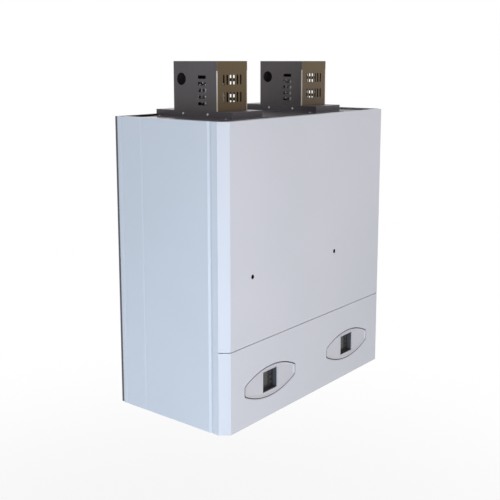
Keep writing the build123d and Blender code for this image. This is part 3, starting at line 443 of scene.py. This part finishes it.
def finishes() -> dict[str, Finish]:
    """Every finish by the material slot it stands for; variants carry a name of their own."""
    return {
        # The lighter bare colour paints highlights along the panels' sharp edges, broken where the coat
        # wears.
        "white_enamel": Finish("white_enamel", tone(203, 207, 214), tone(207, 210, 217),
                               bare=tone(228, 230, 235), roughness=0.42, edge_wear_and_light=0.35, bump=0.00003,
                               patch_scale=2.2, grain_scale=1400.0, coat=0.12),
        "frame_steel": ZincSheet("frame_steel", tone(92, 88, 92), tone(88, 84, 89), bare=tone(150, 148, 148),
                                 roughness=0.42, metallic=0.35, flake_scale=140.0, depth=0.2),
        "deck_steel": ZincSheet("deck_steel", tone(82, 77, 82), tone(87, 82, 87), bare=tone(150, 148, 148),
                                roughness=0.36, metallic=0.5, flake_scale=140.0, depth=0.2, dust=0.14),
        "guard_side": BrushedSheet("guard_side", tone(92, 87, 89), tone(84, 79, 82),
                                   bare=tone(140, 135, 130), roughness=0.4, metallic=0.45,
                                   direction=Grain.ALONG_Z, depth=0.25, dust=0.25),
        "zinc_steel": ZincSheet("zinc_steel", tone(176, 178, 180), tone(160, 163, 166), roughness=0.36,
                                metallic=0.85, edge_wear_and_light=0.1),
        "bright_steel": BrushedSheet("bright_steel", tone(205, 204, 202), tone(190, 190, 190),
                                     roughness=0.28, metallic=1.0, edge_wear_and_light=0.0, dust=0.05,
                                     direction=Grain.ALONG_X, depth=0.15),
        "cast_aluminium": Finish("cast_aluminium", tone(158, 157, 156), tone(140, 140, 140),
                                 roughness=0.55, metallic=0.6, grain_scale=500.0, bump=0.00012, edge_wear_and_light=0.2,
                                 bare=tone(225, 225, 225)),
        "motor_metal": Finish("motor_metal", tone(238, 237, 236), tone(222, 222, 222), roughness=0.27,
                              metallic=0.8, edge_wear_and_light=0.1, dust=0.03, bump=0.00001),
        "copper": BrushedSheet("copper", tone(196, 120, 88), tone(150, 84, 62), bare=tone(225, 160, 125),
                               roughness=0.34, metallic=1.0, patch_scale=14.0, depth=0.2),
        "valve_brass": Finish("valve_brass", tone(200, 166, 98), tone(176, 140, 78), bare=tone(226, 200, 140),
                              roughness=0.32, metallic=1.0),
        "gas_paint": Finish("gas_paint", tone(222, 184, 60), tone(208, 168, 48), bare=tone(150, 148, 145),
                            roughness=0.4, edge_wear_and_light=0.6),
        "lever_paint": Finish("lever_paint", tone(214, 172, 44), tone(200, 156, 36), roughness=0.38,
                              edge_wear_and_light=0.5, coat=0.3),
        "pump_paint": Finish("pump_paint", tone(62, 66, 70), tone(54, 58, 62), roughness=0.45,
                             grain_scale=500.0, bump=0.0001),
        "light_plastic": Finish("light_plastic", tone(196, 198, 205), tone(202, 204, 210),
                                bare=tone(215, 217, 222), roughness=0.46, grain_scale=2200.0,
                                bump=0.00005, edge_wear_and_light=0.15, edge=0.0006),
        "dark_plastic": Finish("dark_plastic", tone(34, 34, 36), tone(42, 42, 44), bare=tone(70, 70, 72),
                               roughness=0.5, grain_scale=2200.0, bump=0.00006, edge_wear_and_light=0.2, edge=0.0006),
        # Housing with painted light on its recess walls.
        "window_plastic_painted_light": PaintedLightWindowPlastic("window_plastic_painted_light", tone(34, 32, 34), tone(40, 38, 40),
                                        bare=tone(70, 70, 72), roughness=0.5, grain_scale=2200.0,
                                        bump=0.00006, edge_wear_and_light=0.2, edge=0.0006),
        # Dark colour of the strip that paints the shade line in the oval openings.
        "shade_strip_dark": Finish("shade_strip_dark", tone(66, 66, 70), tone(58, 58, 62), roughness=0.7, edge_wear_and_light=0.0,
                              grain_scale=1800.0, bump=0.00008, edge=0.0003, dust=0.1),
        "key_plastic": Finish("key_plastic", tone(56, 56, 60), tone(52, 52, 56), bare=tone(110, 110, 112),
                              roughness=0.5, grain_scale=2600.0, bump=0.00004, edge_wear_and_light=0.3, edge=0.0004),
        "display_glass": Finish("display_glass", tone(44, 50, 43), tone(38, 44, 38), roughness=0.3,
                                spread=0.04, edge_wear_and_light=0.0, dust=0.02, bump=0.00001, coat=0.15),
        "sight_glass": Finish("sight_glass", tone(60, 64, 66), tone(48, 46, 44), roughness=0.1,
                              spread=0.04, edge_wear_and_light=0.0, bump=0.00001, coat=0.8),
    }


class Dresser:
    """Builds each finish when it is first asked for and puts it on nodes and pieces."""

    def __init__(self) -> None:
        """Build the shared effects."""
        self.effects = Effects()
        self.finishes = finishes()
        self.made: dict[str, bpy.types.Material] = {}

    def material(self, name: str) -> bpy.types.Material:
        """The material of a finish by its name."""
        if name not in self.made:
            self.made[name] = self.finishes[name].build(self.effects)
        return self.made[name]

    def dress(self, thing: bpy.types.Object, *names: str) -> None:
        """Give an object its materials in order, in place of what it had."""
        thing.data.materials.clear()
        for name in names:
            thing.data.materials.append(self.material(name))

    def node(self, node: str, *names: str) -> None:
        """Dress a CAD node by its name."""
        self.dress(frame["nodes"][node], *names)
        log.info("dressed %s with %s", node, ", ".join(names))


def finish_piece(mesh: bmesh.types.BMesh, name: str, body: str, slot: str, dresser: Dresser,
                 *names: str, smooth: float | None = 35.0) -> bpy.types.Object:
    """Turn a bmesh into a named piece that rides on a body.

    Args:
        mesh: The shape, in the row frame and in metres.
        name: The piece's name.
        body: The CAD body it moves with.
        slot: The record's material slot it takes its finish from.
        dresser: Who holds the materials.
        names: The finishes of its material indices.
        smooth: The angle in degrees under which faces are shaded smooth, or None for flat faces.

    Returns:
        The new object.
    """
    bmesh.ops.remove_doubles(mesh, verts=mesh.verts, dist=1e-7)
    bmesh.ops.recalc_face_normals(mesh, faces=mesh.faces)
    data = bpy.data.meshes.new(name)
    mesh.to_mesh(data)
    mesh.free()
    piece = bpy.data.objects.new(name, data)
    bpy.context.scene.collection.objects.link(piece)
    dresser.dress(piece, *(names or (slot,)))
    if smooth is not None:
        data.set_sharp_from_angle(angle=math.radians(smooth))
        data.polygons.foreach_set("use_smooth", [True] * len(data.polygons))
    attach(piece, body)
    log.info("built %s on %s, %d faces", name, body, len(data.polygons))
    return piece


def lathe(profile: list[tuple[float, float]], place: Point, axis: Point,
          steps: int = 48) -> bmesh.types.BMesh:
    """Spin a profile round an axis.

    Args:
        profile: Points as (distance from the axis, distance along it), in millimetres.
        place: Where the axis starts, in metres.
        axis: The axis's direction.
        steps: How many flats a full turn has.

    Returns:
        The spun shape, with its poles merged.
    """
    mesh = bmesh.new()
    points = [mesh.verts.new((radius * MM, 0.0, along * MM)) for radius, along in profile]
    edges = [mesh.edges.new(pair) for pair in zip(points, points[1:])]
    bmesh.ops.spin(mesh, geom=points + edges, cent=(0, 0, 0), axis=(0, 0, 1), angle=math.tau,
                   steps=steps, use_merge=True)
    bmesh.ops.remove_doubles(mesh, verts=mesh.verts, dist=1e-7)
    turn = Vector((0, 0, 1)).rotation_difference(Vector(axis)).to_matrix().to_4x4()
    bmesh.ops.transform(mesh, matrix=Matrix.Translation(place) @ turn, verts=mesh.verts)
    return mesh


def join(target: bmesh.types.BMesh, source: bmesh.types.BMesh) -> None:
    """Add one bmesh's shape to another and free it."""
    data = bpy.data.meshes.new("joined")
    source.to_mesh(data)
    source.free()
    target.from_mesh(data)
    bpy.data.meshes.remove(data)


@dataclass(frozen=True)
class Lamp:
    """A square soft lamp that looks at the origin; lengths in metres, power in watts."""

    name: str
    place: Point
    size: float
    power: float
    colour: Colour = (1.0, 1.0, 1.0)


LAMPS = (
    Lamp("left_lamp", (-2.5, -1.0, -0.9), 1.7, 47.0, (0.64, 0.84, 1.04)),
    Lamp("front_lamp", (-0.85, -2.2, 0.1), 1.3, 15.8, (1.0, 0.87, 0.86)),
    Lamp("back_lamp", (1.2, 3.0, 1.4), 2.6, 34.0),
    Lamp("right_lamp", (3.2, -0.4, 0.8), 2.6, 24.0),
)


@dataclass
class Studio:
    """Camera, lamps, floor and background."""

    camera_place: Point = (-2.0635, -1.8171, 0.5846)
    camera_yaw: float = 51.386
    camera_pitch: float = 9.321
    lens: float = 60.836
    shift: float = -0.10
    floor_height: float = -1.15
    floor_size: float = 40.0
    fade_from: float = 0.4
    fade_to: float = 2.4
    near_white: float = 0.8
    world_level: float = 0.42

    def build(self) -> None:
        """Place everything that isn't the object."""
        scene = bpy.context.scene
        scene.view_settings.view_transform = "Standard"
        self.camera(scene)
        self.lamps()
        self.floor()
        self.world(scene)

    def camera(self, scene: bpy.types.Scene) -> None:
        """Set the camera where the photograph was taken from."""
        data = bpy.data.cameras.new("camera")
        data.lens = self.lens
        data.sensor_width = 36.0
        data.shift_y = self.shift
        data.clip_end = 100.0
        camera = bpy.data.objects.new("camera", data)
        camera.location = self.camera_place
        camera.rotation_euler = (math.radians(90 - self.camera_pitch), 0.0, math.radians(-self.camera_yaw))
        scene.collection.objects.link(camera)
        scene.camera = camera

    def lamps(self) -> None:
        """Hang large soft lamps round the object."""
        for lamp in LAMPS:
            data = bpy.data.lights.new(lamp.name, "AREA")
            data.shape = "SQUARE"
            data.size = lamp.size
            data.energy = lamp.power
            data.color = lamp.colour
            light = bpy.data.objects.new(lamp.name, data)
            light.location = lamp.place
            light.rotation_euler = (-Vector(lamp.place)).to_track_quat("-Z", "Y").to_euler()
            bpy.context.scene.collection.objects.link(light)

    def show_white(self, graph: Graph, lit: bpy.types.Node,
                   shade: bpy.types.NodeSocket | float) -> bpy.types.NodeSocket:
        """Mix a lit shader with plain white for what the camera, gloss and glass see.

        Args:
            graph: The tree to lay nodes in.
            lit: The shader or background that lights and shades as usual.
            shade: How much of the white is kept, 1 for all.

        Returns:
            The mixed shader.
        """
        rays = graph.add("LightPath")
        seen = graph.maths("ADD", rays.outputs["Is Camera Ray"], rays.outputs["Is Glossy Ray"])
        seen = graph.maths("ADD", seen, rays.outputs["Is Transmission Ray"], clamp=True)
        kind = "Background" if lit.bl_idname == "ShaderNodeBackground" else "Emission"
        white = graph.add(kind, Color=(1.0, 1.0, 1.0), Strength=1.0)
        mix = graph.add("MixShader")
        graph.put(mix, 0, graph.maths("MULTIPLY", seen, shade))
        graph.put(mix, 1, lit.outputs[0])
        graph.put(mix, 2, white.outputs[0])
        return mix.outputs[0]

    def floor(self) -> None:
        """Lay a pale floor that shows nearly white to the camera and keeps the object's shadow."""
        bpy.ops.mesh.primitive_plane_add(size=self.floor_size, location=(0, 0, self.floor_height))
        floor = bpy.context.active_object
        floor.name = "floor"
        material = bpy.data.materials.new("pale_floor")
        material.use_nodes = True
        graph = Graph(material.node_tree)
        lit = graph.add("BsdfDiffuse", Color=(0.9, 0.9, 0.9))
        output = graph.add("OutputMaterial")
        far = graph.add("VectorMath", {"operation": "LENGTH"})
        graph.put(far, 0, graph.add("TexCoord").outputs["Object"])
        share = graph.ramp(far.outputs["Value"], self.fade_from, self.fade_to, self.near_white, 1.0)
        graph.put(output, "Surface", self.show_white(graph, lit, share))
        floor.data.materials.append(material)

    def world(self, scene: bpy.types.Scene) -> None:
        """Light everything evenly and show white where nothing stands."""
        world = bpy.data.worlds.new("studio")
        world.use_nodes = True
        scene.world = world
        graph = Graph(world.node_tree)
        lit = graph.add("Background", Color=(0.98, 0.99, 1.0), Strength=self.world_level)
        output = graph.add("OutputWorld")
        graph.put(output, "Surface", self.show_white(graph, lit, 1.0))


@dataclass
class Casing:
    """Folded casing: frame, panels, deck, tray, divider, rail and the cable gland."""

    dresser: Dresser

    def build(self) -> None:
        """Dress the casing's nodes."""
        dress = self.dresser.node
        dress("back_frame", "frame_steel")
        dress("left_side_panel", "white_enamel")
        dress("right_side_panel", "white_enamel")
        dress("upper_front_panel", "white_enamel")
        dress("lower_front_panel", "white_enamel")
        dress("top_deck", "deck_steel")
        for node in ("bottom_tray", "centre_divider", "front_rail"):
            dress(node, "zinc_steel")
        dress("cable_gland", "dark_plastic")


@dataclass
class FanGroup:
    """Collar, guard, motor, impeller, scroll and flue parts of one module."""

    dresser: Dresser
    side: Side

    def build(self) -> None:
        """Dress the fan group's nodes."""
        name = self.side.value
        dress = self.dresser.node
        dress(f"{name}_collar", "deck_steel")
        dress(f"{name}_fan_guard", "guard_side")
        plate_low, plate_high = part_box(f"{name}_guard_front")
        plate = GuardPlate(f"{name}_guard_plate", tone(90, 69, 28), tone(82, 63, 26), roughness=0.5,
                           metallic=0.1, dust=0.05, direction=Grain.ALONG_Z, depth=0.2,
                           bare=tone(150, 140, 120),
                           middle=(plate_low.x + plate_high.x) / 2,
                           half_width=(plate_high.x - plate_low.x) / 2 - 2.45 * MM)
        self.dresser.finishes[plate.name] = plate
        dress(f"{name}_guard_front", plate.name)
        dress(f"{name}_fan_motor", "motor_metal")
        dress(f"{name}_fan_impeller", "bright_steel")
        for node in ("fan_scroll", "flue_outlet", "flue_hood"):
            dress(f"{name}_{node}", "zinc_steel")


@dataclass
class ControlUnit:
    """Fascia, housing, display and keys of one module, and a dark strip in its opening that paints the shade
    line along the bottom and the right end.

    Lengths are in millimetres.
    """

    dresser: Dresser
    side: Side
    oval_width: float = 241.0
    oval_height: float = 92.0
    end_height: float = 30.0
    corner: float = 8.0
    seat: float = 0.05
    # Size and place of the dark strip that paints the shade line in the oval opening.
    shade_strip_depth: float = 1.2
    shade_strip_length: float = 5.8
    shade_strip_thickness: float = 2.1
    arc_steps: int = 40
    corner_steps: int = 6
    shade_strip_share: float = 0.8

    def build(self) -> None:
        """Dress the control unit's nodes."""
        name = self.side.value
        dress = self.dresser.node
        dress(f"{name}_fascia", "light_plastic")
        dress(f"{name}_control_unit", "window_plastic_painted_light")
        dress(f"{name}_display", "display_glass")
        for key in ("top", "middle", "bottom"):
            dress(f"{name}_key_{key}", "key_plastic")
        self.paint_shade_strip()

    def paint_shade_strip(self) -> None:
        """Lay a dark strip along the bottom and the right end of the panel's oval opening, as painted shade
        where the gap's shadow falls.
        """
        mesh = bmesh.new()
        half = self.oval_width / 2 - self.seat
        side = self.end_height / 2
        rise = self.oval_height / 2 - self.seat - side
        radius = (half**2 + rise**2) / (2 * rise)
        swing = math.asin(half / radius)
        for way in (1, -1):
            start = mesh.verts.new((way * half, 0.0, way * side))
            centre = Vector((0.0, 0.0, way * (side + rise - radius)))
            bmesh.ops.spin(mesh, geom=[start], cent=centre, axis=(0, -1, 0), angle=2 * swing,
                           steps=self.arc_steps)
        ends = [vertex for vertex in mesh.verts if len(vertex.link_edges) == 1]
        for way in (1, -1):
            mesh.edges.new([vertex for vertex in ends if vertex.co.x * way > 0])
        face = bmesh.ops.contextual_create(mesh, geom=mesh.edges[:])["faces"]
        tangent = self.corner / math.tan((math.pi / 2 + swing) / 2)
        bmesh.ops.bevel(mesh, geom=ends, offset=tangent, segments=self.corner_steps, profile=0.5,
                        affect="VERTICES", material=-1)
        bmesh.ops.delete(mesh, geom=mesh.faces[:], context="FACES_ONLY")
        wall = bmesh.ops.extrude_edge_only(mesh, edges=mesh.edges[:])["geom"]
        moved = [item for item in wall if isinstance(item, bmesh.types.BMVert)]
        bmesh.ops.translate(mesh, verts=moved, vec=(0.0, self.shade_strip_length, 0.0))
        bmesh.ops.recalc_face_normals(mesh, faces=mesh.faces)
        places = [(face, face.calc_center_median()) for face in mesh.faces]
        # Keep the strip only along the bottom and the right end, where it paints the shade line.
        bare = [face for face, at in places if at.z > -self.shade_strip_share * side and at.x < half - self.corner]
        bmesh.ops.delete(mesh, geom=bare, context="FACES")
        bmesh.ops.solidify(mesh, geom=mesh.faces[:], thickness=self.shade_strip_thickness)
        low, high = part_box(f"{self.side.value}_fascia")
        place = Vector(((low.x + high.x) / 2, cad_low.y + self.shade_strip_depth * MM, (low.z + high.z) / 2))
        bmesh.ops.transform(mesh, matrix=Matrix.Translation(place) @ Matrix.Scale(MM, 4), verts=mesh.verts)
        finish_piece(mesh, f"{self.side.value}_oval_shade_strip", node_body("lower_front_panel"), "dark_plastic",
                     self.dresser, "shade_strip_dark")


@dataclass
class HeatingModule:
    """Exchanger, chamber, burner, gas train and pump of one module."""

    dresser: Dresser
    side: Side

    def build(self) -> None:
        """Dress the heating module's nodes."""
        name = self.side.value
        for node, finish in (
            ("heat_exchanger", "copper"), ("return_riser", "copper"), ("combustion_chamber", "zinc_steel"),
            ("sight_glass", "sight_glass"), ("burner", "bright_steel"), ("gas_valve", "cast_aluminium"),
            ("gas_cock", "valve_brass"), ("gas_cock_lever", "lever_paint"), ("pump", "pump_paint"),
        ):
            if f"{name}_{node}" in frame["nodes"]:
                self.dresser.node(f"{name}_{node}", finish)


@dataclass
class Pipework:
    """Water and gas headers that both modules share."""

    dresser: Dresser

    def build(self) -> None:
        """Dress the headers."""
        for node, colour, patch in (
            ("flow_header", tone(196, 120, 88), tone(150, 84, 62)),
            ("return_header", tone(196, 120, 88), tone(150, 84, 62)),
            ("gas_header", tone(222, 184, 60), tone(208, 168, 48)),
        ):
            stub_x, stub_y = foot_middle(node)
            metallic = 0.0 if node == "gas_header" else 1.0
            pipe = PipeMetal(f"{node}_pipe", colour, patch, roughness=0.36, metallic=metallic,
                             patch_scale=14.0, middle=(stub_x, stub_y), nipple=tone(188, 160, 104))
            self.dresser.finishes[pipe.name] = pipe
            self.dresser.node(node, pipe.name)


def foot_middle(node: str) -> tuple[float, float]:
    """The middle, along X and Y, of a node's lowest ring."""
    corners = [vertex.co for vertex in frame["nodes"][node].data.vertices]
    foot = min(corner.z for corner in corners)
    ring = [corner for corner in corners if corner.z < foot + MM]
    return sum(point.x for point in ring) / len(ring), sum(point.y for point in ring) / len(ring)


def loose_boxes(node: str) -> list[tuple[Vector, Vector]]:
    """The lowest and highest corners of each separate solid in a node."""
    mesh = bmesh.new()
    mesh.from_mesh(frame["nodes"][node].data)
    bmesh.ops.remove_doubles(mesh, verts=mesh.verts, dist=1e-6)
    left = set(mesh.verts)
    boxes = []
    while left:
        reached = [left.pop()]
        solid = []
        while reached:
            vertex = reached.pop()
            solid.append(vertex.co.copy())
            near = {edge.other_vert(vertex) for edge in vertex.link_edges} & left
            left -= near
            reached.extend(near)
        boxes.append((Vector(map(min, zip(*solid))), Vector(map(max, zip(*solid)))))
    mesh.free()
    return boxes


@dataclass
class Screws:
    """Hexagon-head sheet screws of the collars and the deck, in place of their plain solids."""

    dresser: Dresser
    flange_height: float = 0.5
    flange_wall: float = 0.6
    flange_top: float = 0.94
    hexagon_share: float = 0.8
    hexagon_sink: float = 0.9
    shoulder: float = 0.86
    crown: float = 0.88
    dish_rim: float = 0.7
    dish_floor: float = 0.5
    dish: float = 0.3
    steps: int = 32

    def build(self) -> None:
        """Build one piece that holds every screw head."""
        heads = bmesh.new()
        for low, high in loose_boxes("fan_screws"):
            join(heads, self.head(low, high))
        piece = finish_piece(heads, "hexagon_screws", node_body("fan_screws"), "bright_steel", self.dresser)
        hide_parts("fan_screws")

    def head(self, low: Vector, high: Vector) -> bmesh.types.BMesh:
        """Shape one head inside its solid's box.

        Args:
            low: The solid's lowest corner.
            high: The solid's highest corner.

        Returns:
            A washer flange with a dished hexagon on it.
        """
        size = high - low
        middle = (low + high) / 2
        thin = min(range(3), key=lambda index: size[index])
        outward = Vector((0.0, 0.0, 0.0))
        outward[thin] = 1.0 if thin == 2 else math.copysign(1.0, middle.x - nearest_middle(middle.x))
        foot = middle - outward * size[thin] / 2
        radius = max(size) / 2 / MM
        height = size[thin] / MM
        flange = lathe([(0.0, 0.0), (radius, 0.0), (radius, self.flange_height * self.flange_wall),
                        (radius * self.flange_top, self.flange_height), (0.0, self.flange_height)],
                       foot, outward, self.steps)
        flat = radius * self.hexagon_share
        start = self.flange_height * self.hexagon_sink
        hexagon = lathe([(0.0, start), (flat, start), (flat, height * self.shoulder),
                         (flat * self.crown, height), (flat * self.dish_rim, height),
                         (flat * self.dish_floor, height - self.dish), (0.0, height - self.dish)],
                        foot, outward, 6)
        join(flange, hexagon)
        return flange


def nearest_middle(x: float) -> float:
    """The middle of the collar nearest to a place along X."""
    boxes = [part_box(f"{side.value}_collar") for side in Side]
    return min(((low.x + high.x) / 2 for low, high in boxes), key=lambda middle: abs(middle - x))


def node_body(node: str) -> str:
    """The body that a CAD node moves with."""
    bodies = frame["record"]["behaviour"]["bodies"]
    return next(body for body, nodes in bodies.items() if node in nodes)


def main() -> None:
    """Build the studio and every sub-assembly in order."""
    logging.basicConfig(level=logging.INFO, format="%(name)s: %(message)s")
    dresser = Dresser()
    Studio().build()
    Casing(dresser).build()
    for side in Side:
        FanGroup(dresser, side).build()
        ControlUnit(dresser, side).build()
        HeatingModule(dresser, side).build()
    Pipework(dresser).build()
    Screws(dresser).build()


if __name__ == "__main__":
    main()
